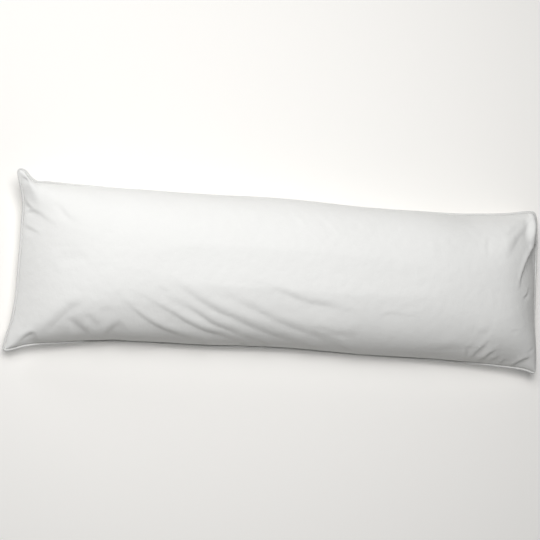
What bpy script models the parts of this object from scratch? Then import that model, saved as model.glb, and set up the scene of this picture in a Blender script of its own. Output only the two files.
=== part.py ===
"""A piped body pillow, lying on its back.

Metres, +Z up. The origin is on the surface that the pillow lies on, under its middle. +X runs along the
pillow and +Y across it. The pillow is one filled solid: two sheets that meet in a seam all round. The
piping is a cord of its own, sewn just outside that seam.
"""

import math
from collections import namedtuple

import bmesh
import bpy
import numpy
from mathutils import Vector

MM = 0.001

# Driving dimensions, mm
PIPING_DIAMETER = 6.0
PIPING_GAP = 0.35  # between the cord and the cloth beside it
LEFT_REACH = 240.0  # from the left end to where the pillow is at its full height
RIGHT_REACH = 175.0
SETTLED = 60.0  # how much of the round belly is pressed flat on the surface

# The tables below are drawn about this point, which the box's middle is moved from to the origin, mm
CENTRE = (0.8, 0.9)

# The seam along the pillow, mm: a row gives its share of the length from the left end, the far and the near
# edge, the height of the seam, the crown of the filling above it, how far the filling bulges out over the far
# and the near seam, and the flank: a low one rises straight up at the seam, a high one leans.
Station = namedtuple("Station", "share far near seam crown far_tuck near_tuck flank")
STATIONS = (
    Station(0.000, 238, -237, 62, 88, 0, 0, 0.60),
    Station(0.010, 237, -234, 62, 90, 0, 0, 0.60),
    Station(0.020, 222, -229, 62, 93, 0, 0, 0.61),
    Station(0.032, 211, -224, 61, 97, 0, 0, 0.62),
    Station(0.050, 211, -219, 58, 104, 2, 4, 0.66),
    Station(0.100, 213, -208, 52, 121, 14, 16, 0.80),
    Station(0.180, 213, -195, 44, 142, 26, 26, 1.00),
    Station(0.350, 216, -193, 40, 154, 28, 28, 1.10),
    Station(0.500, 221, -188, 40, 156, 28, 28, 1.10),
    Station(0.650, 215, -192, 40, 154, 28, 28, 1.10),
    Station(0.780, 216, -195, 42, 147, 24, 26, 1.05),
    Station(0.860, 220, -198, 46, 136, 14, 20, 0.90),
    Station(0.920, 226, -202, 52, 121, 4, 10, 0.75),
    Station(0.960, 232, -206, 58, 106, 0, 3, 0.65),
    Station(0.985, 238, -211, 61, 95, 0, 0, 0.60),
    Station(1.000, 239, -219, 62, 88, 0, 0, 0.60),
)

# The two short ends, mm: a row gives its share of the width from the near corner and each end's place.
End = namedtuple("End", "share left right")
ENDS = (
    End(0.00, -734, 734),
    End(0.06, -731, 735),
    End(0.16, -719, 733),
    End(0.28, -712, 729),
    End(0.50, -710, 728),
    End(0.72, -710, 729),
    End(0.84, -711, 728),
    End(0.90, -717, 726),
    End(0.96, -725, 724),
    End(1.00, -729, 718),
)

# Corners: how far each one is lifted or droops, and how far that is felt, mm
Ear = namedtuple("Ear", "name along across lift reach")
EARS = (
    Ear("far left", 0.0, 1.0, 34, 85),
    Ear("near left", 0.0, 0.0, -14, 90),
    Ear("far right", 1.0, 1.0, 6, 80),
    Ear("near right", 1.0, 0.0, -10, 80),
)

# Main folds of the upper sheet, mm: each runs from start through middle to end. The cloth rolls into it from
# its left and its right side, seen along it, over a width of its own. It is deepest at its peak and keeps a
# share of its depth, its tail, at its end. A negative depth is a ridge.
Fold = namedtuple("Fold", "name start middle end depth left right peak tail")
FOLDS = (
    Fold("near 1", (-425, -92), (-340, -154), (-215, -192), 10, 18, 34, 0.50, 0.5),
    Fold("near 2", (-374, -87), (-262, -139), (-108, -178), 9, 16, 28, 0.45, 0.5),
    Fold("near 3", (-284, -46), (-124, -118), (52, -172), 12, 17, 34, 0.48, 0.7),
    Fold("near 4", (-205, -38), (-25, -109), (160, -168), 7, 18, 30, 0.70, 0.5),
    Fold("near 5", (-78, -26), (55, -65), (185, -86), 4, 16, 26, 0.55, 0.0),
    Fold("near right shelf", (395, -132), (454, -158), (497, -145), -4, 18, 18, 0.50, 0.0),
    Fold("ear fold", (-716, 166), (-686, 133), (-610, 88), 10, 14, 26, 0.10, 0.0),
    Fold("ear hollow", (-728, 212), (-706, 208), (-688, 196), 5, 12, 16, 0.50, 0.2),
    Fold("corner hollow", (-690, -224), (-668, -208), (-654, -184), 8, 14, 20, 0.55, 0.2),
    Fold("corner ray 1", (-634, -196), (-592, -145), (-540, -98), 5, 16, 24, 0.35, 0.0),
    Fold("corner ray 2", (-580, -142), (-545, -165), (-505, -182), 5, 16, 22, 0.60, 0.3),
    Fold("end fold", (722, 150), (678, 88), (652, 18), 12, 34, 14, 0.25, 0.1),
    Fold("end facet", (708, 222), (702, 186), (708, 150), -5, 14, 16, 0.50, 0.3),
    Fold("far right dent", (680, 172), (644, 120), (610, 74), 4, 18, 22, 0.45, 0.0),
    Fold("right ray 1", (535, -186), (560, -151), (592, -118), 6, 14, 18, 0.30, 0.0),
    Fold("right ray 2", (660, -208), (690, -190), (712, -172), 6, 14, 18, 0.55, 0.2),
)
FOLD_STEPS = 24
FOLD_ENTRY = 5.0  # a fold is at its full depth once the case has 1 / FOLD_ENTRY of its height
ROLL = 0.6  # how strongly the cloth rises beside a fold before it rolls in

# Upright section of the filled case
ROUNDNESS = 2.2  # 2 is a circle's arch, and more is a flatter top
END_FLANK = 0.57
OVERHANG_ENTRY = 0.55  # below 1, the sheet leaves its seam outwards before it turns up
OVERHANG_PEAK = 0.365  # the most that the curve in overhang() reaches
LIP = 0.05  # share of the width, from the seam, over which the sheet still stands upright round the cord
LOWER_BULGE = 0.3  # how far the lower sheet bulges out beside the upper one

# Fineness of each sheet
COLUMNS = 88
ROWS = 28
LIP_ROW = 0.02  # share of the width at which the row next to the seam is
STRAIGHT = numpy.linspace(0, 1, 2001)
LEAST = 1e-6  # mm, keeps flat corners from counting as turned over


def clear_scene():
    for thing in list(bpy.data.objects):
        bpy.data.objects.remove(thing, do_unlink=True)


def new_material(name, colour, roughness):
    """A matt cloth."""
    material = bpy.data.materials.new(name)
    material.use_nodes = True
    shader = material.node_tree.nodes["Principled BSDF"]
    shader.inputs["Base Color"].default_value = (*colour, 1.0)
    shader.inputs["Roughness"].default_value = roughness
    shader.inputs["Metallic"].default_value = 0.0
    return material


def read_column(rows, share, column):
    """A column's values at shares of the way, on a smooth curve through the rows."""
    shares = numpy.array([row.share for row in rows], float)
    values = numpy.array([getattr(row, column) for row in rows], float)
    slopes = numpy.gradient(values, shares)
    index = numpy.clip(numpy.searchsorted(shares, share, side="right") - 1, 0, len(rows) - 2)
    step = shares[index + 1] - shares[index]
    part = (share - shares[index]) / step
    from_start = values[index] * (1 + 2 * part) + slopes[index] * step * part
    from_end = values[index + 1] * (3 - 2 * part) - slopes[index + 1] * step * (1 - part)
    return from_start * (1 - part) ** 2 + from_end * part**2


def plan_points(along, across):
    """Where points of the seam's surface lie, seen from above, mm."""
    left = read_column(ENDS, across, "left")
    right = read_column(ENDS, across, "right")
    near = read_column(STATIONS, along, "near")
    far = read_column(STATIONS, along, "far")
    return left + along * (right - left) - CENTRE[0], near + across * (far - near) - CENTRE[1]


def seam_heights(along, across):
    """Height of the seam's surface, mm: level across the case, but for its lifted or drooping ears."""
    x, y = plan_points(along, across)
    height = read_column(STATIONS, along, "seam")
    for ear in EARS:
        corner_x, corner_y = plan_points(numpy.array([ear.along]), numpy.array([ear.across]))
        distance = numpy.hypot(x - corner_x, y - corner_y)
        height = height + ear.lift * numpy.exp(-((distance / ear.reach) ** 2))
    return height


def seam_points(along, across):
    x, y = plan_points(along, across)
    return numpy.stack([x, y, seam_heights(along, across)], axis=1)


def arch(share, flank):
    """Rises from 0 to 1 with share."""
    return numpy.maximum(0, 1 - numpy.maximum(0, 1 - share) ** ROUNDNESS) ** flank


def fullness(along, across):
    """Shares of the full height, 0 at the seam and 1 in the middle, and how far in the ends are."""
    x, _ = plan_points(along, across)
    left = read_column(ENDS, across, "left") - CENTRE[0]
    right = read_column(ENDS, across, "right") - CENTRE[0]
    inwards = numpy.minimum((x - left) / LEFT_REACH, (right - x) / RIGHT_REACH)
    lengthways = arch(inwards, END_FLANK)
    crossways = arch(1 - numpy.abs(2 * across - 1), read_column(STATIONS, along, "flank"))
    both = lengthways + crossways - lengthways * crossways
    return lengthways * crossways / numpy.maximum(both, 1e-9), lengthways


def overhang(along, across):
    """How far the sheet bulges out from its even spread between the seams, mm."""
    _, lengthways = fullness(along, across)
    far = read_column(STATIONS, along, "far_tuck")
    near = read_column(STATIONS, along, "near_tuck")
    share = 1 - numpy.abs(2 * across - 1)
    bulge = share**OVERHANG_ENTRY * (1 - share) / OVERHANG_PEAK
    upright = numpy.clip(share / LIP, 0, 1)
    bulge = bulge * upright**2 * (3 - 2 * upright)
    return numpy.where(across > 0.5, far, -near) * bulge * numpy.clip(1.2 * lengthways, 0, 1)


def upper_points(along, across):
    x, y = plan_points(along, across)
    full, _ = fullness(along, across)
    height = seam_heights(along, across) + read_column(STATIONS, along, "crown") * full
    return numpy.stack([x, y + overhang(along, across), height], axis=1)


def lower_points(along, across):
    """The belly is round below the seam, and flat where the surface stops it."""
    x, y = plan_points(along, across)
    seam = seam_heights(along, across)
    full, _ = fullness(along, across)
    height = numpy.maximum(0.0, seam - (seam + SETTLED) * full)
    return numpy.stack([x, y + LOWER_BULGE * overhang(along, across), height], axis=1)


def even_shares(count, points):
    """Shares at which count equal steps along the cloth end, for the cloth's points at STRAIGHT."""
    steps = numpy.linalg.norm(numpy.diff(points, axis=0), axis=1)
    walked = numpy.concatenate([[0.0], numpy.cumsum(steps)])
    return numpy.interp(numpy.linspace(0, walked[-1], count + 1), walked, STRAIGHT)


def grid_shares():
    """Shares along and across at which the sheets have their columns and rows."""
    midway = numpy.full_like(STRAIGHT, 0.5)
    columns = even_shares(COLUMNS, upper_points(STRAIGHT, midway))
    inner = even_shares(ROWS - 2, upper_points(midway, STRAIGHT))[1:-1]
    rows = numpy.concatenate([[0.0, LIP_ROW], inner, [1 - LIP_ROW, 1.0]])
    return columns, rows


def fold_line(fold):
    """Points along a fold, on the curve through its three."""
    part = numpy.linspace(0, 1, FOLD_STEPS + 1)[:, None]
    start, middle, end = (numpy.array(point, float) - CENTRE for point in (fold.start, fold.middle, fold.end))
    pull = 2 * middle - (start + end) / 2
    return start * (1 - part) ** 2 + 2 * pull * part * (1 - part) + end * part**2


def beside_line(line, x, y):
    """For each point: its distance to a line, below zero on its right side, and its share of the way."""
    nearest = numpy.full(x.shape, 1e9)
    share = numpy.zeros_like(x)
    for index, (start, end) in enumerate(zip(line[:-1], line[1:])):
        way = end - start
        part = numpy.clip(((x - start[0]) * way[0] + (y - start[1]) * way[1]) / (way @ way), 0, 1)
        off_x = x - start[0] - part * way[0]
        off_y = y - start[1] - part * way[1]
        distance = numpy.hypot(off_x, off_y)
        closer = distance < numpy.abs(nearest)
        side = numpy.where(way[0] * off_y - way[1] * off_x < 0, -1.0, 1.0)
        nearest[closer] = (distance * side)[closer]
        share[closer] = ((index + part) / FOLD_STEPS)[closer]
    return nearest, share


def fold_depths(fold, x, y):
    """How deep a fold presses the cloth in at each point, mm."""
    distance, share = beside_line(fold_line(fold), x, y)
    rising = numpy.sin(math.pi / 2 * numpy.clip(share / fold.peak, 0, 1)) ** 1.3
    falling = 1 - (1 - fold.tail) * numpy.clip((share - fold.peak) / (1 - fold.peak), 0, 1) ** 2
    steps = numpy.abs(distance) / numpy.where(distance > 0, fold.left, fold.right)
    return fold.depth * rising * falling * numpy.exp(-steps) * (1 - ROLL * steps)


def press_folds(mesh, upper, full):
    """Moves the upper sheet's points along their normals."""
    mesh.normal_update()
    x = numpy.array([vertex.co.x for vertex in upper]) / MM
    y = numpy.array([vertex.co.y for vertex in upper]) / MM
    depths = sum(fold_depths(fold, x, y) for fold in FOLDS) * numpy.clip(FOLD_ENTRY * full, 0, 1)
    moves = [vertex.normal * depth * MM for vertex, depth in zip(upper, depths)]
    for vertex, move in zip(upper, moves):
        vertex.co -= move


def split_from_corner(corner):
    """Cuts a corner's face from its tip inwards, so that the two sheets part right at the tip."""
    face = corner.link_faces[0]
    neighbours = [edge.other_vert(corner) for edge in corner.link_edges]
    inner = next(vertex for vertex in face.verts if vertex != corner and vertex not in neighbours)
    bmesh.utils.face_split(face, corner, inner)


def add_sheet(mesh, place, columns, rows):
    """A grid of cloth, with its points where place() says. Returns them with their fullness."""
    made = bmesh.ops.create_grid(mesh, x_segments=COLUMNS, y_segments=ROWS, size=0.5)["verts"]
    cells = numpy.array([vertex.co[:2] for vertex in made]) + 0.5
    along = columns[numpy.rint(cells[:, 0] * COLUMNS).astype(int)]
    across = rows[numpy.rint(cells[:, 1] * ROWS).astype(int)]
    for vertex, point in zip(made, place(along, across)):
        vertex.co = Vector(point) * MM
    for corner in [vertex for vertex in made if len(vertex.link_faces) == 1]:
        split_from_corner(corner)
    return made, fullness(along, across)[0]


def build_pillow(collection, material):
    """Both sheets, joined along the seam into one filled solid."""
    columns, rows = grid_shares()
    mesh = bmesh.new()
    upper, full = add_sheet(mesh, upper_points, columns, rows)
    press_folds(mesh, upper, full)
    lower, _ = add_sheet(mesh, lower_points, columns, rows)
    bmesh.ops.reverse_faces(mesh, faces=list({face for vertex in lower for face in vertex.link_faces}))
    bmesh.ops.remove_doubles(mesh, verts=mesh.verts, dist=0.01 * MM)
    data = bpy.data.meshes.new("pillow")
    mesh.to_mesh(data)
    mesh.free()
    data.materials.append(material)
    data.shade_smooth()
    collection.objects.link(bpy.data.objects.new("pillow", data))


def seam_loop():
    """Shares along and across of the seam's points, once round from the near left corner, counter-clockwise
    from above."""
    columns, rows = grid_shares()
    rows = numpy.delete(rows, [1, ROWS - 1])  # the rows at the lip are too close to the corners for the cord
    along = [columns[:-1], numpy.ones(len(rows) - 1), columns[:0:-1], numpy.zeros(len(rows) - 1)]
    across = [numpy.zeros(COLUMNS), rows[:-1], numpy.ones(COLUMNS), rows[:0:-1]]
    return numpy.concatenate(along), numpy.concatenate(across)


def nest(along, across):
    """Where the cord's middle lies from the seam: how far out and how far up, mm. Where the filling hangs out
    over a long side's seam, the cord is in the angle between the two sheets and keeps clear of both."""
    beside = numpy.clip(across, LIP_ROW, 1 - LIP_ROW)
    outwards = numpy.where(across > 0.5, 1, -1)
    seam = seam_points(along, across)
    over = upper_points(along, beside) - seam
    under = seam - lower_points(along, beside)
    over_angle = numpy.arctan2(numpy.maximum(over[:, 2], LEAST), over[:, 1] * outwards)
    under_angle = -numpy.arctan2(numpy.maximum(under[:, 2], LEAST), -under[:, 1] * outwards)
    middle = (over_angle + under_angle) / 2
    half = numpy.clip((over_angle - under_angle) / 2, 0, math.pi / 2)
    on_long_side = (across < LIP_ROW) | (across > 1 - LIP_ROW)
    clear = PIPING_DIAMETER / 2 + PIPING_GAP
    reach = clear / numpy.where(on_long_side, numpy.sin(half), 1.0)
    tilt = numpy.where(on_long_side & (half < math.pi / 2), middle, 0.0)
    return reach * numpy.cos(tilt), reach * numpy.sin(tilt)


def outward(before, after):
    """Unit vector to the right of the way from one point to the next, seen from above."""
    return Vector((after[1] - before[1], before[0] - after[0])).normalized()


def build_piping(collection, material):
    """The cord in its cover, beside the seam all round."""
    along, across = seam_loop()
    loop = seam_points(along, across)
    out, up = nest(along, across)
    curve = bpy.data.curves.new("piping", "CURVE")
    curve.dimensions = "3D"
    curve.bevel_depth = PIPING_DIAMETER / 2 * MM
    curve.bevel_resolution = 2
    spline = curve.splines.new("POLY")
    spline.points.add(len(loop) - 1)
    spline.use_cyclic_u = True
    for index, (x, y, height) in enumerate(loop):
        in_side = outward(loop[index - 1], loop[index])
        out_side = outward(loop[index], loop[(index + 1) % len(loop)])
        mitre = (in_side + out_side) * out[index] / (1 + in_side.dot(out_side))
        spline.points[index].co = (*(Vector((x + mitre.x, y + mitre.y, height + up[index])) * MM), 1.0)
    curve.materials.append(material)
    collection.objects.link(bpy.data.objects.new("piping", curve))


def main():
    clear_scene()
    collection = bpy.data.collections.new("body pillow")
    bpy.context.scene.collection.children.link(collection)
    build_pillow(collection, new_material("white cotton", (0.83, 0.82, 0.80), 0.85))
    build_piping(collection, new_material("white cotton piping", (0.78, 0.77, 0.75), 0.80))


main()
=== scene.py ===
# %% [markdown]
# # A piped body pillow
#
# A body pillow is two long panels of white cotton, sewn together all round and stuffed. A piping is caught
# in that seam: a thin cord in a cover of its own, cut on the bias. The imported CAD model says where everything
# is. This script dresses it, in the same frame: metres, +Z up, +X along the pillow and +Y across it.

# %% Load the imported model
import math
from collections import namedtuple

import bmesh
import bpy
import numpy
from mathutils import Matrix, Vector, noise


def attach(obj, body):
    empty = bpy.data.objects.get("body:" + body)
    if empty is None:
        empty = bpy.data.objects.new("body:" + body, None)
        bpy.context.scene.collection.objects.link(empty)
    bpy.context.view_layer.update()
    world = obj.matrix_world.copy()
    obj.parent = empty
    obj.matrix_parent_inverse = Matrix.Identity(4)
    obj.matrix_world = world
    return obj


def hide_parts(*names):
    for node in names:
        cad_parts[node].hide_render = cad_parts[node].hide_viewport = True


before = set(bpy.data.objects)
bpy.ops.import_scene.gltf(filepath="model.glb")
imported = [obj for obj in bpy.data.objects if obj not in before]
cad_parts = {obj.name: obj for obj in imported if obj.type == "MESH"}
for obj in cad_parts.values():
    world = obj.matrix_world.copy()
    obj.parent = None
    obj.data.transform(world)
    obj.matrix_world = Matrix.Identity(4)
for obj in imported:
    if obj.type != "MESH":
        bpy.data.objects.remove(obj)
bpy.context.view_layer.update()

MM = 0.001
print("CAD nodes:", sorted(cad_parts))

# %% [markdown]
# ## The camera
#
# The camera looks almost straight down, from a little beyond the pillow's left end. A camera could be turned
# by Euler angles, but here three directions are easier to reason with: where its back, its right side and its
# top point. They are the columns of its matrix. The roll lays the pillow across the picture.

# %% Camera
CAMERA_TARGET = Vector((-0.0430, 0.0187, 0.085))
CAMERA_AZIMUTH = math.radians(-56)
CAMERA_ELEVATION = math.radians(79)
CAMERA_ROLL = math.radians(59.48)
CAMERA_DISTANCE = 3.0  # m from its target
CAMERA_LENS = 73.4  # on the default sensor, 36 mm wide


def make_camera():
    back = Vector(
        (
            math.sin(CAMERA_AZIMUTH) * math.cos(CAMERA_ELEVATION),
            -math.cos(CAMERA_AZIMUTH) * math.cos(CAMERA_ELEVATION),
            math.sin(CAMERA_ELEVATION),
        )
    )
    level = Vector((0, 0, 1)).cross(back).normalized()
    top = back.cross(level)
    right = math.cos(CAMERA_ROLL) * level + math.sin(CAMERA_ROLL) * top
    up = math.cos(CAMERA_ROLL) * top - math.sin(CAMERA_ROLL) * level
    data = bpy.data.cameras.new("camera")
    data.lens = CAMERA_LENS
    camera = bpy.data.objects.new("camera", data)
    turned = Matrix((right, up, back)).transposed().to_4x4()
    camera.matrix_world = Matrix.Translation(CAMERA_TARGET + CAMERA_DISTANCE * back) @ turned
    bpy.context.scene.collection.objects.link(camera)
    bpy.context.scene.camera = camera
    return camera


camera = make_camera()
print("camera at", [round(value, 3) for value in camera.location], "m")

# %% [markdown]
# ## Light
#
# Folds in white cloth show only as shading, so the light must come from one side. A large soft panel stands
# beyond the far left corner, close enough for its light to fall off towards the right end. The sky adds a
# weak light from above, so that the near flank goes grey but not black.

# %% Lights and sky
Lamp = namedtuple("Lamp", "name place aim width height power")  # m and W
LAMPS = (
    Lamp("key panel", (-0.6, 0.8, 2.6), (0.0, 0.0, 0.1), 1.5, 1.5, 40.0),
    Lamp("top panel", (-0.2, 0.5, 3.2), (0.0, 0.0, 0.1), 1.2, 1.2, 42.0),
    Lamp("left fill", (-2.2, 1.6, 0.9), (-0.4, 0.0, 0.1), 1.0, 1.0, 12.0),
)
SKY_STRENGTH = 0.03


def hex_colour(code, alpha=1.0):
    """A linear colour from an sRGB hex code such as "#F4F3F0"."""
    values = [int(code[i : i + 2], 16) / 255 for i in (1, 3, 5)]
    linear = [v / 12.92 if v <= 0.04045 else ((v + 0.055) / 1.055) ** 2.4 for v in values]
    return (*linear, alpha)


def make_lamp(lamp):
    data = bpy.data.lights.new(lamp.name, "AREA")
    data.shape = "RECTANGLE"
    data.size = lamp.width
    data.size_y = lamp.height
    data.energy = lamp.power
    thing = bpy.data.objects.new(lamp.name, data)
    thing.location = lamp.place
    aim = Vector(lamp.aim) - Vector(lamp.place)
    thing.rotation_euler = aim.to_track_quat("-Z", "Y").to_euler()
    bpy.context.scene.collection.objects.link(thing)


def make_sky():
    world = bpy.data.worlds.new("studio")
    world.use_nodes = True
    sky = world.node_tree.nodes["Background"]
    sky.inputs["Color"].default_value = hex_colour("#FFFFFF")
    sky.inputs["Strength"].default_value = SKY_STRENGTH
    bpy.context.scene.world = world


for lamp in LAMPS:
    make_lamp(lamp)
make_sky()
bpy.context.scene.view_settings.view_transform = "Standard"
print(len(LAMPS), "area lamps and a plain sky")

# %% [markdown]
# ## Materials
#
# Each material is a small network of nodes. One function adds any node, sets its values and links its inputs,
# so that a network reads like a list.

# %% One function for every node


def add_node(tree, kind, settings=(), **inputs):
    """Adds a node. settings are its properties; an input is a value or another node's output socket."""
    node = tree.nodes.new(kind)
    for key, value in dict(settings).items():
        setattr(node, key, value)
    for key, value in inputs.items():
        socket = node.inputs[int(key[1:])] if key[0] == "_" else node.inputs[key.replace("_", " ")]
        if isinstance(value, bpy.types.NodeSocket):
            tree.links.new(value, socket)
        else:
            socket.default_value = value
    return node


# %% [markdown]
# ### Cotton percale
#
# The panels are percale: a plain weave of fine, even cotton threads. It is matt, a touch fuzzy at grazing
# angles and never quite one white. Real threads lie 0.25 mm apart, which no picture of a whole pillow can
# show, so they are drawn 1.2 mm apart here. The weave reads the cloth's own UV map, which is in metres.

# %% Cotton percale
THREAD = 1.2 * MM
BIAS_THREAD = 1.0 * MM  # the piping's cover is a little finer
BIAS = math.radians(45)  # how its threads lie to its length
THREAD_RELIEF = 0.12 * MM
CRUMPLE = 14 * MM  # across one of the soft creases that washing leaves
CRUMPLE_RELIEF = 0.9 * MM
CLOUD = 170 * MM  # across one patch of slightly different white
WAVE_PERIOD = math.tau / 20  # of Blender's wave texture at a scale of 1


def cotton(name, shade, deep, thread, turn):
    """A plain-woven cotton. shade and deep are its lightest and darkest white; turn lays the threads."""
    material = bpy.data.materials.new(name)
    material.use_nodes = True
    tree = material.node_tree
    shader = tree.nodes["Principled BSDF"]
    shader.inputs["Roughness"].default_value = 0.86  # matt
    shader.inputs["IOR"].default_value = 1.46
    shader.inputs["Sheen Weight"].default_value = 0.12  # the fuzz of loose fibre ends
    shader.inputs["Sheen Roughness"].default_value = 0.45
    place = add_node(tree, "ShaderNodeTexCoord")
    laid = add_node(tree, "ShaderNodeMapping", _0=place.outputs["UV"], Rotation=(0, 0, turn))
    scale = WAVE_PERIOD / thread
    warp, weft = [
        add_node(
            tree,
            "ShaderNodeTexWave",
            {"bands_direction": axis},
            Vector=laid.outputs[0],
            Scale=scale,
            Distortion=0.6,
            Detail=1.0,
            Detail_Scale=0.3,
        )
        for axis in ("X", "Y")
    ]
    weave = add_node(
        tree, "ShaderNodeMath", {"operation": "MULTIPLY"}, _0=warp.outputs[1], _1=weft.outputs[1]
    )
    woven = add_node(
        tree, "ShaderNodeBump", Strength=0.35, Distance=THREAD_RELIEF, Height=weave.outputs[0]
    )
    crumple = add_node(
        tree,
        "ShaderNodeTexNoise",
        Vector=place.outputs["Object"],
        Scale=1 / CRUMPLE,
        Detail=3.0,
        Roughness=0.55,
    )
    rumpled = add_node(
        tree,
        "ShaderNodeBump",
        Strength=0.8,
        Distance=CRUMPLE_RELIEF,
        Height=crumple.outputs[0],
        Normal=woven.outputs[0],
    )
    tree.links.new(rumpled.outputs[0], shader.inputs["Normal"])
    cloud = add_node(
        tree,
        "ShaderNodeTexNoise",
        Vector=place.outputs["Object"],
        Scale=1 / CLOUD,
        Detail=4.0,
        Roughness=0.6,
    )
    white = add_node(
        tree, "ShaderNodeMix", {"data_type": "RGBA"}, _0=cloud.outputs[0], _6=deep, _7=shade
    )
    tree.links.new(white.outputs[2], shader.inputs["Base Color"])
    return material


percale = cotton("cotton percale", hex_colour("#F1F1EF"), hex_colour("#EBEBE9"), THREAD, 0.0)
# The piping's two whites are darker than the panels' own white. This is painted shade: it dims the cord's top
# where it catches the key lamp.
bias_percale_painted_shade = cotton(
    "bias-cut cotton percale with painted shade", hex_colour("#DEDEDC"), hex_colour("#D8D8D6"), BIAS_THREAD, BIAS
)
print("materials:", percale.name, "and", bias_percale_painted_shade.name)

# %% [markdown]
# ## Helpers for whole meshes
#
# Bending thousands of points one by one in Python is slow. Blender can hand over all the points of a mesh at
# once, as one array, and take them back. The other helpers make an object from a bmesh, keep for good the
# shape that modifiers make, measure a line and draw a smooth curve from one point to the next.

# %% Helpers for whole meshes
MERGE = 0.01 * MM  # points closer than this are sewn into one
TINY = 1e-9  # keeps divisions away from zero


def add_object(name, mesh):
    """A new object in the scene, made of a bmesh."""
    data = bpy.data.meshes.new(name)
    mesh.to_mesh(data)
    mesh.free()
    thing = bpy.data.objects.new(name, data)
    bpy.context.scene.collection.objects.link(thing)
    return thing


def read_vectors(data, kind):
    """One row of three for each point of a mesh: its place, "co", or its "normal"."""
    values = numpy.empty(len(data.vertices) * 3)
    data.vertices.foreach_get(kind, values)
    return values.reshape(-1, 3)


def write_points(data, points):
    data.vertices.foreach_set("co", points.ravel())
    data.update()


def read_layer(data, name):
    values = numpy.empty(len(data.vertices))
    data.attributes[name].data.foreach_get("value", values)
    return values


def settle(thing):
    """Gives the object the mesh that its modifiers make, and drops the modifiers."""
    evaluated = thing.evaluated_get(bpy.context.evaluated_depsgraph_get())
    data = bpy.data.meshes.new_from_object(evaluated)
    thing.modifiers.clear()
    thing.data = data


def walk(points):
    """How far along a line each of its points lies."""
    steps = numpy.linalg.norm(numpy.diff(points, axis=0), axis=1)
    return numpy.concatenate([[0.0], numpy.cumsum(steps)])


def smooth_between(start, end, leaving, arriving, part):
    """Part of the way from start to end, on a curve with a set slope at either end."""
    from_start = start * (1 + 2 * part) + leaving * part
    from_end = end * (3 - 2 * part) - arriving * (1 - part)
    return from_start * (1 - part) ** 2 + from_end * part**2


print("points closer than", MERGE / MM, "mm are merged")

# %% [markdown]
# ## The case
#
# Seen from above, the case is a long panel whose sides draw in between its corners. Short tables give its
# outline and its height in a few places, and a smooth curve is read through each of their columns.

# %% The pillow's outline and height
CENTRE = (0.8, 0.9)  # mm; the tables are drawn about this point, which the box's middle is moved from
Station = namedtuple("Station", "share far near seam crown far_tuck near_tuck flank")
STATIONS = (
    Station(0.000, 238, -237, 62, 88, 0, 0, 0.60),
    Station(0.010, 237, -234, 62, 90, 0, 0, 0.60),
    Station(0.020, 222, -229, 62, 93, 0, 0, 0.61),
    Station(0.032, 211, -223, 61, 97, 0, 5, 0.62),
    Station(0.050, 213, -217, 58, 104, 2, 11, 0.66),
    Station(0.100, 215, -208, 52, 121, 17, 21, 0.80),
    Station(0.180, 215, -195, 44, 142, 30, 32, 1.00),
    Station(0.350, 218, -193, 40, 154, 32, 36, 1.10),
    Station(0.500, 223, -188, 40, 156, 32, 36, 1.10),
    Station(0.650, 217, -192, 40, 154, 32, 35, 1.10),
    Station(0.780, 218, -195, 42, 147, 27, 30, 1.05),
    Station(0.860, 220, -198, 46, 136, 14, 26, 0.98),
    Station(0.890, 223, -200, 49, 129, 8, 19, 0.82),
    Station(0.920, 226, -202, 52, 121, 4, 9, 0.72),
    Station(0.960, 232, -206, 58, 102, 0, 3, 0.65),
    Station(0.985, 238, -211, 61, 88, 0, 0, 0.60),
    Station(1.000, 239, -219, 62, 80, 0, 0, 0.60),
)
End = namedtuple("End", "share left right right_reach right_flank")
ENDS = (
    End(0.00, -734, 734, 125, 0.38),
    End(0.06, -731, 735, 125, 0.36),
    End(0.16, -719, 733, 125, 0.38),
    End(0.28, -712, 729, 135, 0.50),
    End(0.50, -710, 728, 150, 0.57),
    End(0.72, -710, 729, 150, 0.57),
    End(0.84, -711, 728, 150, 0.50),
    End(0.90, -717, 726, 150, 0.42),
    End(0.96, -725, 724, 150, 0.42),
    End(1.00, -729, 718, 150, 0.45),
)
Ear = namedtuple("Ear", "name along across lift reach")
EARS = (
    Ear("far left", 0.0, 1.0, 34, 85),
    Ear("near left", 0.0, 0.0, -14, 90),
    Ear("far right", 1.0, 1.0, 6, 80),
    Ear("near right", 1.0, 0.0, 0, 80),
)
LEFT_REACH = 220.0  # mm from the left end to the case's full height
SETTLED = 60.0  # mm that the belly would hang below the surface, if nothing carried it
ROUNDNESS = 3.1  # 2 is a circle's arch, and more is a flatter top
LEFT_FLANK = 0.95  # the flank exponent of the left end, see arch()


def read_column(rows, share, column):
    """A column's values at shares of the way, on a smooth curve through the rows."""
    shares = numpy.array([row.share for row in rows], float)
    values = numpy.array([getattr(row, column) for row in rows], float)
    slopes = numpy.gradient(values, shares)
    index = numpy.clip(numpy.searchsorted(shares, share, side="right") - 1, 0, len(rows) - 2)
    step = shares[index + 1] - shares[index]
    part = (share - shares[index]) / step
    leaving = slopes[index] * step
    arriving = slopes[index + 1] * step
    return smooth_between(values[index], values[index + 1], leaving, arriving, part)


def plan_points(along, across):
    """Where points of the seam's surface lie, seen from above, mm."""
    left = read_column(ENDS, across, "left")
    right = read_column(ENDS, across, "right")
    near = read_column(STATIONS, along, "near")
    far = read_column(STATIONS, along, "far")
    return left + along * (right - left) - CENTRE[0], near + across * (far - near) - CENTRE[1]


def seam_heights(along, across):
    """Height of the seam's surface, mm: level across the case, but for its lifted or drooping ears."""
    x, y = plan_points(along, across)
    height = read_column(STATIONS, along, "seam")
    for ear in EARS:
        corner_x, corner_y = plan_points(numpy.array([ear.along]), numpy.array([ear.across]))
        distance = numpy.hypot(x - corner_x, y - corner_y)
        height = height + ear.lift * numpy.exp(-((distance / ear.reach) ** 2))
    return height


def arch(share, flank):
    """Rises from 0 to 1 with share. A low flank exponent rises straight up at first, a high one leans."""
    return numpy.maximum(0, 1 - numpy.maximum(0, 1 - share) ** ROUNDNESS) ** flank


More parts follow.
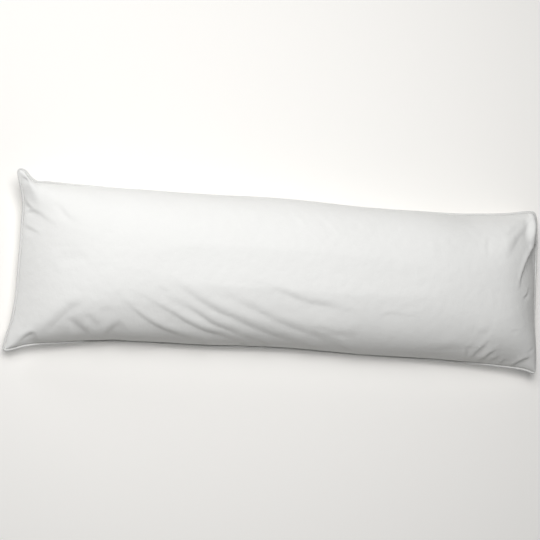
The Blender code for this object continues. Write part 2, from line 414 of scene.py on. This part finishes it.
def fullness(along, across):
    """Shares of the full height, 0 at the seam and 1 in the middle, and how far in the ends are."""
    x, _ = plan_points(along, across)
    left = read_column(ENDS, across, "left") - CENTRE[0]
    right = read_column(ENDS, across, "right") - CENTRE[0]
    from_left = arch((x - left) / LEFT_REACH, LEFT_FLANK)
    reach = read_column(ENDS, across, "right_reach")
    from_right = arch((right - x) / reach, read_column(ENDS, across, "right_flank"))
    lengthways = numpy.minimum(from_left, from_right)
    crossways = arch(1 - numpy.abs(2 * across - 1), read_column(STATIONS, along, "flank"))
    both = lengthways + crossways - lengthways * crossways
    return lengthways * crossways / numpy.maximum(both, TINY), lengthways


OVERHANG_ENTRY = 0.55  # below 1, the panel leaves its seam outwards before it turns up
OVERHANG_PEAK = 0.365  # the most that the curve in overhang() reaches
OVERHANG_ENDS = 1.2  # the bulge is full where the ends have risen to 1 / OVERHANG_ENDS of the full height
LIP = 0.05  # share of the width, from the seam, over which the panel still stands upright round the cord
LOWER_BULGE = 0.3  # how far the lower panel bulges out beside the upper one


def overhang(along, across):
    """How far the panel bulges out from its even spread between the seams, mm."""
    _, lengthways = fullness(along, across)
    far = read_column(STATIONS, along, "far_tuck")
    near = read_column(STATIONS, along, "near_tuck")
    share = 1 - numpy.abs(2 * across - 1)
    bulge = share**OVERHANG_ENTRY * (1 - share) / OVERHANG_PEAK
    upright = numpy.clip(share / LIP, 0, 1)
    bulge = bulge * upright**2 * (3 - 2 * upright)
    return numpy.where(across > 0.5, far, -near) * bulge * numpy.clip(OVERHANG_ENDS * lengthways, 0, 1)


def upper_points(along, across):
    x, y = plan_points(along, across)
    full, _ = fullness(along, across)
    height = seam_heights(along, across) + read_column(STATIONS, along, "crown") * full
    return numpy.stack([x, y + overhang(along, across), height], axis=1)


def lower_points(along, across):
    """The belly is round below the seam, and flat where the surface stops it."""
    x, y = plan_points(along, across)
    seam = seam_heights(along, across)
    full, _ = fullness(along, across)
    belly = seam - (seam + SETTLED) * full
    return numpy.stack([x, y + LOWER_BULGE * overhang(along, across), numpy.maximum(0.0, belly)], axis=1)


print("the case's seam is drawn from", len(STATIONS), "stations and", len(ENDS), "end rows")

# %% [markdown]
# ### Two panels sewn together
#
# A grid is the natural start for a woven panel: its rows and columns are the threads. The two grids share the
# points of the seam, and merging those points sews them together. Rows and columns are spaced evenly along
# the cloth, so the UV map is simply the flat panel, in metres.

# %% Panels
COLUMNS = 160
ROWS = 76
STRAIGHT = numpy.linspace(0, 1, 2001)  # 0 to 1 in steps fine enough to measure lengths with


def even_shares(count, points):
    """Shares at which count equal steps along the cloth end, for the cloth's points at STRAIGHT."""
    walked = walk(points)
    shares = numpy.interp(numpy.linspace(0, walked[-1], count + 1), walked, STRAIGHT)
    return shares, walked[-1] * MM


MIDWAY = numpy.full_like(STRAIGHT, 0.5)
COLUMN_SHARES, PANEL_LENGTH = even_shares(COLUMNS, upper_points(STRAIGHT, MIDWAY))
ROW_SHARES, PANEL_WIDTH = even_shares(ROWS, upper_points(MIDWAY, STRAIGHT))


def split_from_corner(corner):
    """Cuts a corner's face from its tip inwards, so that the two sheets part right at the tip."""
    face = corner.link_faces[0]
    neighbours = [edge.other_vert(corner) for edge in corner.link_edges]
    inner = next(vertex for vertex in face.verts if vertex != corner and vertex not in neighbours)
    bmesh.utils.face_split(face, corner, inner)


def add_panel(mesh, place, side):
    """One panel. The layers along, across and full keep where each of its points belongs."""
    uv = mesh.loops.layers.uv.verify()
    layers = [mesh.verts.layers.float.get(name) for name in ("along", "across", "full")]
    made = bmesh.ops.create_grid(mesh, x_segments=COLUMNS, y_segments=ROWS, size=0.5)["verts"]
    cells = numpy.array([vertex.co[:2] for vertex in made]) + 0.5
    along = COLUMN_SHARES[numpy.rint(cells[:, 0] * COLUMNS).astype(int)]
    across = ROW_SHARES[numpy.rint(cells[:, 1] * ROWS).astype(int)]
    full = fullness(along, across)[0] * side
    for vertex, cell, values in zip(made, cells, zip(along, across, full)):
        for layer, value in zip(layers, values):
            vertex[layer] = value
        for loop in vertex.link_loops:
            loop[uv].uv = (cell[0] * PANEL_LENGTH, cell[1] * PANEL_WIDTH)
    for vertex, point in zip(made, place(along, across)):
        vertex.co = Vector(point) * MM
    for corner in [vertex for vertex in made if len(vertex.link_faces) == 1]:
        split_from_corner(corner)
    return made


def make_case():
    mesh = bmesh.new()
    for name in ("along", "across", "full"):
        mesh.verts.layers.float.new(name)
    add_panel(mesh, upper_points, 1)
    below = add_panel(mesh, lower_points, -1)
    bmesh.ops.reverse_faces(mesh, faces=list({face for vertex in below for face in vertex.link_faces}))
    bmesh.ops.remove_doubles(mesh, verts=mesh.verts, dist=MERGE)
    return add_object("body_pillow", mesh)


pillow = make_case()
print("panel", round(PANEL_LENGTH, 3), "x", round(PANEL_WIDTH, 3), "m,", len(pillow.data.polygons), "faces")

# %% [markdown]
# ### Stuffing it
#
# The filling presses outwards everywhere. Blender's Cloth has a pressure for that, with gravity turned off.
# The usual first step, a voxel remesh, would melt the thin ears and the sharp seam, so the sewn panels are
# simulated as they are, with the seam pinned. They start a little inside their full shape, which leaves the
# pressure room to work in. No point may travel further than a set distance, and what would sink into the
# surface is laid flat on it.

# %% Stuff the case by simulation
PRESSURE = 4.0
FRAMES = 20
CLOTH_QUALITY = 6  # steps of the simulation in each frame
STIFFNESS = 10.0  # against bending, so that the filled cloth buckles softly
FARTHEST_MOVE = 7.0 * MM
SLACK = 5.0 * MM  # the case starts this much inside its full shape, except near its seam
SLACK_ENTRY = 3.0  # the case has its full slack where it has 1 / SLACK_ENTRY of its height
SEAM_LEVEL = 1e-6  # a point with less than this share of the full height is in the seam


def on_seam(full):
    return numpy.abs(full) < SEAM_LEVEL


def stuff(thing):
    full = read_layer(thing.data, "full")
    inside = numpy.clip(SLACK_ENTRY * numpy.abs(full), 0, 1)[:, None]
    start = read_vectors(thing.data, "co") - SLACK * inside * read_vectors(thing.data, "normal")
    write_points(thing.data, start)
    pinned = thing.vertex_groups.new(name="seam")
    pinned.add([int(index) for index in numpy.flatnonzero(on_seam(full))], 1.0, "REPLACE")
    cloth = thing.modifiers.new("stuffing", "CLOTH")
    cloth.settings.use_pressure = True
    cloth.settings.uniform_pressure_force = PRESSURE
    cloth.settings.vertex_group_mass = "seam"
    cloth.settings.effector_weights.gravity = 0
    cloth.settings.quality = CLOTH_QUALITY
    cloth.settings.bending_stiffness = STIFFNESS
    cloth.point_cache.frame_start = 1
    cloth.point_cache.frame_end = FRAMES
    for step in range(1, FRAMES + 1):
        bpy.context.scene.frame_set(step)
    settle(thing)
    bpy.context.scene.frame_set(1)
    move = read_vectors(thing.data, "co") - start
    distance = numpy.linalg.norm(move, axis=1, keepdims=True)
    move *= numpy.minimum(1, FARTHEST_MOVE / numpy.maximum(distance, TINY))
    stuffed = start + move
    stuffed[:, 2] = numpy.maximum(0, stuffed[:, 2])
    write_points(thing.data, stuffed)
    return numpy.median(distance) / MM, distance.max() / MM


middle, most = stuff(pillow)
print("stuffing would move the cloth by", round(middle, 1), "mm, and", round(most, 1), "mm at the most")

# %% [markdown]
# ### A finer grid
#
# Fine folds need more points than the simulation could carry in good time. A Subdivision Surface halves the
# steps of the grid and rounds it. It also draws the seam in a little, so the seam's points are put back.

# %% Halve the grid


def halve_grid(thing):
    subdivision = thing.modifiers.new("finer", "SUBSURF")
    subdivision.levels = 1
    subdivision.render_levels = 1
    settle(thing)
    seam = on_seam(read_layer(thing.data, "full"))
    along = read_layer(thing.data, "along")[seam]
    across = read_layer(thing.data, "across")[seam]
    points = read_vectors(thing.data, "co")
    points[seam] = upper_points(along, across) * MM
    write_points(thing.data, points)
    return int(seam.sum())


seam_count = halve_grid(pillow)
print("the cloth has", len(pillow.data.polygons), "faces, and", seam_count, "points in its seam")

# %% [markdown]
# ### Folds
#
# Filling draws the seam in, and the cloth beside it has to gather in folds. They could be sculpted, but a
# table of them is easier to change: each row is one crease, pressed in along a curve through a few points.
# Cloth rolls over into a crease on one side, always the left one as the curve runs, and lies flat on the
# other. So a row has two widths, for its rolled and its flat side, and both grow along the curve by the share
# called flare. A crease is deepest at its peak, and it keeps a share of its depth at its head and at its
# tail. A depth below zero makes a ridge.

# %% Folds
Fold = namedtuple(
    "Fold", "name points depth rolled flat flare peak head tail", defaults=(0.0, 0.5, 0.0, 0.0)
)
FOLDS = (
    Fold(
        "near 1",
        ((-430, -95), (-390, -125), (-350, -150), (-300, -170), (-220, -190)),
        4.6, 12, 46, flare=0.3, peak=0.8, head=0.1, tail=0.6,
    ),
    Fold(
        "near 2",
        ((-375, -85), (-310, -115), (-255, -145), (-195, -165), (-115, -185)),
        5.5, 14, 36, flare=0.2, peak=0.6, head=0.1, tail=0.5,
    ),
    Fold(
        "near 2 branch",
        ((-315, -80), (-255, -105), (-190, -140), (-130, -160), (-60, -180)),
        4.8, 16, 26, flare=0.2, peak=0.6, head=0.1, tail=0.5,
    ),
    Fold(
        "near 3",
        ((-295, -40), (-235, -80), (-130, -125), (-35, -155), (65, -180)),
        4.9, 20, 48, flare=0.2, peak=0.55, head=0.1, tail=0.6,
    ),
    Fold(
        "near 4",
        ((-210, -40), (-145, -70), (-75, -100), (-10, -125), (65, -145), (155, -175)),
        3.0, 20, 30, flare=0.1, peak=0.7, tail=0.9,
    ),
    Fold("near 4 ridge", ((45, -135), (110, -145), (180, -165)), -1.3, 9, 9),
    Fold("near 4 branch", ((50, -135), (95, -140), (145, -145), (200, -145)), 2.8, 20, 26),
    Fold(
        "near 5",
        ((-75, -30), (-30, -40), (25, -60), (80, -70), (120, -75), (180, -85)),
        2.7, 18, 30, peak=0.6, head=0.2,
    ),
    Fold("near 6", ((235, -90), (285, -85), (345, -90)), 1.0, 9, 24),
    Fold("near left pinch", ((-350, -50), (-315, -70)), 0.8, 9, 12),
    Fold("ear fold", ((-720, 175), (-705, 155), (-690, 140)), 4.0, 6, 9, peak=0.4, head=0.3),
    Fold(
        "ear fold end",
        ((-700, 145), (-670, 125), (-640, 105), (-615, 90)),
        2.2, 11, 26, peak=0.2, head=0.6,
    ),
    Fold("ear second fold", ((-635, 160), (-610, 140), (-590, 120), (-560, 105)), 1.8, 12, 14),
    Fold("ear hollow", ((-725, 225), (-710, 215), (-695, 205)), 4.0, 7, 14, head=0.3),
    Fold("ear side", ((-675, 155), (-675, 180), (-685, 205)), 1.0, 14, 14),
    Fold("ear pinch", ((-705, 130), (-675, 130)), 1.5, 6, 9),
    Fold("ear lower fold", ((-715, 120), (-705, 95), (-680, 80), (-655, 65)), 2.0, 8, 12, peak=0.3),
    Fold("corner hollow", ((-700, -220), (-680, -200), (-655, -185)), 6.0, 11, 30, head=0.3),
    Fold(
        "corner ray 1",
        ((-635, -195), (-620, -170), (-590, -135), (-570, -115), (-540, -100)),
        5.0, 24, 46, peak=0.4,
    ),
    Fold("corner ray 2", ((-580, -140), (-550, -160), (-525, -175), (-510, -185)), 3.4, 20, 26, peak=0.6),
    Fold("corner ray 3", ((-560, -195), (-565, -170), (-575, -150)), 1.4, 16, 22),
    Fold("corner ray 4", ((-525, -130), (-510, -145), (-490, -165)), 2.2, 15, 20),
    Fold("corner ray 5", ((-480, -195), (-465, -170), (-435, -145)), 5.5, 18, 36, peak=0.4),
    Fold("corner ray 6", ((-500, -135), (-485, -120), (-455, -110)), 1.0, 17, 20),
    Fold(
        "end fold",
        ((645, 5), (650, 30), (660, 60), (675, 90), (695, 120), (710, 140)),
        13.0, 11, 44, flare=0.2, peak=0.7, tail=0.6,
    ),
    Fold("end fold foot", ((655, -20), (675, -5), (685, 20)), 3.0, 6, 8),
    Fold("end facet rim", ((685, 140), (690, 175), (700, 220)), -10.0, 18, 8, head=0.2, tail=0.4),
    Fold("dent 1", ((600, 150), (635, 180), (665, 200)), 2.2, 12, 16),
    Fold("end hollow", ((600, 80), (615, 115), (635, 145), (655, 170), (680, 195)), 4.6, 22, 32, tail=0.2),
    Fold("upright wrinkle", ((540, 70), (545, 125), (565, 175)), 0.8, 8, 6),
    Fold(
        "right ray 1",
        ((535, -190), (545, -170), (555, -155), (565, -135)),
        3.4, 10, 16, peak=0.4, head=0.2,
    ),
    Fold(
        "right ray 2",
        ((540, -195), (560, -195), (575, -185), (580, -175), (595, -165)),
        4.6, 10, 16, peak=0.6, head=0.2,
    ),
    Fold("right ray 3", ((590, -195), (600, -190), (615, -180)), 2.6, 10, 14),
    Fold("right ray 4", ((630, -200), (635, -185)), 2.0, 7, 9),
    Fold("right ray 5", ((665, -205), (680, -190), (705, -175)), 4.6, 9, 16, peak=0.6, head=0.3),
    Fold(
        "near right shelf",
        ((365, -155), (420, -165), (460, -160), (510, -160)),
        2.6, 24, 60, peak=0.6, tail=0.3,
    ),
    Fold("near right streak", ((520, -190), (505, -160)), 2.0, 5, 10, peak=0.4, head=0.3),
    Fold("near right dent", ((520, -125), (540, -115), (565, -110)), 1.6, 20, 24),
    Fold("right wrinkle 1", ((690, -165), (710, -145)), 1.2, 5, 6),
    Fold("right wrinkle 2", ((620, -110), (655, -105)), 0.7, 6, 6),
    Fold("upper 1", ((-15, 175), (10, 150), (30, 130)), 1.0, 12, 14),
    Fold("upper 2", ((70, 170), (100, 140), (125, 110)), 1.0, 12, 14),
    Fold("upper 3", ((160, 170), (180, 155), (190, 135)), 0.8, 11, 13),
)
CURVE_STEPS = 8  # from one point of a fold to the next
CREASE_ROUND = 2.0  # mm, keeps the bottom of a crease wider than the grid's steps
ROLL = 2.0  # how strongly the cloth rises beside a crease before it rolls in
FLAT_ROLL = 0.2  # the same on its flat side
SLOPE_SHARE = 0.45  # a fold's curve runs up its rolled slope, this share of the rolled width from the crease
WAVER = 2.5  # mm that the folds stray from their curves, over WAVER_SIZE mm
WAVER_SIZE = 60.0
UNEVEN = 0.35  # share by which a fold's depth changes on its way
SEED = 1795486657  # of both, so that each run folds the cloth in the same way
RUMPLE = 0.5  # mm of unevenness all over the cloth, over RUMPLE_SIZE mm
RUMPLE_SIZE = 22.0
FOLD_ENTRY = 5.0  # a fold has its full depth once the case has 1 / FOLD_ENTRY of its height
FOLD_REACH = 3  # widths from its curve to where a fold is no longer felt
FOLD_RISE = 1.3  # above 1, a fold deepens more gently from its head


def fold_curve(fold):
    """Points along a fold, on a smooth curve through its own few points."""
    points = numpy.array(fold.points, float) - CENTRE
    slopes = numpy.gradient(points, axis=0)
    part = numpy.linspace(0, 1, CURVE_STEPS, endpoint=False)[:, None]
    pieces = []
    for start, end, leaving, arriving in zip(points[:-1], points[1:], slopes[:-1], slopes[1:]):
        pieces.append(smooth_between(start, end, leaving, arriving, part))
    return numpy.concatenate(pieces + [points[-1:]])


def beside_curve(curve, x, y):
    """For each point: its distance to a curve, below zero on its right side, and its share of the way."""
    nearest = numpy.full(x.shape, numpy.inf)
    share = numpy.zeros_like(x)
    for index, (start, end) in enumerate(zip(curve[:-1], curve[1:])):
        way = end - start
        part = numpy.clip(((x - start[0]) * way[0] + (y - start[1]) * way[1]) / (way @ way), 0, 1)
        off_x = x - start[0] - part * way[0]
        off_y = y - start[1] - part * way[1]
        distance = numpy.hypot(off_x, off_y)
        closer = distance < numpy.abs(nearest)
        side = numpy.where(way[0] * off_y - way[1] * off_x < 0, -1.0, 1.0)
        nearest[closer] = (distance * side)[closer]
        share[closer] = ((index + part) / (len(curve) - 1))[closer]
    return nearest, share


def fold_depths(fold, x, y):
    """How deep a fold presses the cloth in at each point, mm."""
    curve = fold_curve(fold)
    margin = FOLD_REACH * max(fold.rolled, fold.flat)
    inside = (x > curve[:, 0].min() - margin) & (x < curve[:, 0].max() + margin)
    inside &= (y > curve[:, 1].min() - margin) & (y < curve[:, 1].max() + margin)
    depths = numpy.zeros_like(x)
    distance, share = beside_curve(curve, x[inside], y[inside])
    before = numpy.clip(share / fold.peak, 0, 1)
    after = numpy.clip((share - fold.peak) / (1 - fold.peak), 0, 1)
    rising = fold.head + (1 - fold.head) * numpy.sin(math.pi / 2 * before) ** FOLD_RISE
    falling = 1 - (1 - fold.tail) * after**2
    distance = distance + SLOPE_SHARE * fold.rolled
    width = numpy.where(distance > 0, fold.rolled, fold.flat) * (1 + fold.flare * (2 * share - 1))
    roll = numpy.where(distance > 0, ROLL, FLAT_ROLL)
    steps = (numpy.hypot(distance, CREASE_ROUND) - CREASE_ROUND) / width
    depths[inside] = fold.depth * rising * falling * numpy.exp(-(steps**2)) * (1 - roll * steps)
    return depths


def press_folds(data, folds):
    """Presses all the folds in. Blender's noise vectors start from the clock unless they are given a seed."""
    noise.seed_set(SEED)
    points = read_vectors(data, "co")
    normals = read_vectors(data, "normal")
    full = read_layer(data, "full")
    entry = numpy.clip(FOLD_ENTRY * full, 0, 1)
    x, y = points[:, 0] / MM, points[:, 1] / MM
    waver = numpy.array([noise.noise_vector(Vector((*spot, 0)) / WAVER_SIZE) for spot in zip(x, y)])
    x, y = x + WAVER * waver[:, 0], y + WAVER * waver[:, 1]
    depth = numpy.zeros_like(x)
    for fold in folds:
        depth += fold_depths(fold, x, y)
    rumple = numpy.array([noise.noise(Vector((*spot, 0)) / RUMPLE_SIZE) for spot in zip(x, y)])
    depth = (1 + UNEVEN * waver[:, 2]) * depth + RUMPLE * entry * rumple
    write_points(data, points - normals * (depth * entry * MM)[:, None])
    return depth.max()


print("deepest fold:", round(press_folds(pillow.data, FOLDS), 1), "mm")

# %% [markdown]
# ### Handing the case over
#
# The case gets its cloth and smooth shading. Then it is tied to the imported model: it moves with the root
# body and stands in for the plain pillow solid.

# %% Finish the case
pillow.data.materials.append(percale)
pillow.data.shade_smooth()
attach(pillow, "root")
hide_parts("pillow")
print("case size, m:", [round(value, 4) for value in pillow.dimensions])

# %% [markdown]
# ## The piping
#
# The piping is a cord 6 mm thick in a strip of cotton cut on the bias, which is why it bends round corners
# without pleats. Its tube is a long grid, rolled up and closed on itself along the seam.

# %% Piping
CORD_RADIUS = 3.0  # mm, as are the next two
CORD_SINK = 1.6  # how far the cord's cover is drawn into the seam
CORD_STEP = 4.0  # from one ring of the tube to the next
CORD_SIDES = 12
CORD_EASING = 2  # rounds of smoothing, which ease the cord round the corners


def seam_path():
    """Points of the seam, mm, evenly spaced, counter-clockwise from above, from the near left corner."""
    forward = STRAIGHT[1:]
    back = STRAIGHT[::-1][1:]
    start = numpy.zeros_like(forward)
    end = numpy.ones_like(forward)
    along = numpy.concatenate([STRAIGHT, end, back, start])
    across = numpy.concatenate([[0.0], start, forward, end, back])
    x, y = plan_points(along, across)
    points = numpy.stack([x, y, seam_heights(along, across)], axis=1)
    walked = walk(points)
    count = round(walked[-1] / CORD_STEP)
    stops = numpy.linspace(0, walked[-1], count + 1)[:-1]
    return numpy.stack([numpy.interp(stops, walked, points[:, axis]) for axis in range(3)], axis=1)


def cord_path():
    """The middle of the cord, mm, and the level direction out of the pillow at each of its points."""
    path = seam_path()
    ahead = numpy.roll(path, -1, axis=0) - numpy.roll(path, 1, axis=0)
    ahead[:, 2] = 0
    ahead /= numpy.linalg.norm(ahead, axis=1, keepdims=True)
    out = numpy.stack([ahead[:, 1], -ahead[:, 0], numpy.zeros(len(path))], axis=1)
    centre = path + out * (CORD_RADIUS - CORD_SINK)
    for _ in range(CORD_EASING):
        centre = (numpy.roll(centre, 1, axis=0) + 2 * centre + numpy.roll(centre, -1, axis=0)) / 4
    return centre, out


def make_piping():
    """Rolls a long grid into a tube round the cord's path, and closes it on itself."""
    centre, out = cord_path()
    count = len(centre)
    mesh = bmesh.new()
    uv = mesh.loops.layers.uv.verify()
    made = bmesh.ops.create_grid(mesh, x_segments=count, y_segments=CORD_SIDES, size=0.5)["verts"]
    for vertex in made:
        step = round((vertex.co.x + 0.5) * count)
        side = round((vertex.co.y + 0.5) * CORD_SIDES)
        turn = math.tau * side / CORD_SIDES
        spot = step % count
        for loop in vertex.link_loops:
            loop[uv].uv = (step * CORD_STEP * MM, turn * CORD_RADIUS * MM)
        reach = math.cos(turn) * Vector(out[spot]) + math.sin(turn) * Vector((0, 0, 1))
        vertex.co = (Vector(centre[spot]) + CORD_RADIUS * reach) * MM
    bmesh.ops.remove_doubles(mesh, verts=mesh.verts, dist=MERGE)
    bmesh.ops.recalc_face_normals(mesh, faces=mesh.faces)
    return add_object("piping_cover", mesh)


piping = make_piping()
piping.data.materials.append(bias_percale_painted_shade)
piping.data.shade_smooth()
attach(piping, "root")
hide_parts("piping")
print("piping:", len(piping.data.polygons), "faces")

# %% [markdown]
# ## The floor
#
# A plain pale floor carries the pillow. It also throws light back up at the shaded flank, as a white studio
# floor does.

# %% Floor
FLOOR_SIZE = 12.0
FLOOR_GLOW = 0.17  # stands for the light that a white room throws back on the floor


def make_floor():
    mesh = bmesh.new()
    bmesh.ops.create_grid(mesh, x_segments=1, y_segments=1, size=FLOOR_SIZE / 2)
    floor = add_object("floor", mesh)
    material = bpy.data.materials.new("matt white vinyl")
    material.use_nodes = True
    shader = material.node_tree.nodes["Principled BSDF"]
    shader.inputs["Base Color"].default_value = hex_colour("#E8E6E2")
    shader.inputs["Roughness"].default_value = 0.9
    shader.inputs["Emission Color"].default_value = hex_colour("#FFFFFF")
    shader.inputs["Emission Strength"].default_value = FLOOR_GLOW
    floor.data.materials.append(material)
    return floor


floor = make_floor()
print("floor:", FLOOR_SIZE, "m on a side")
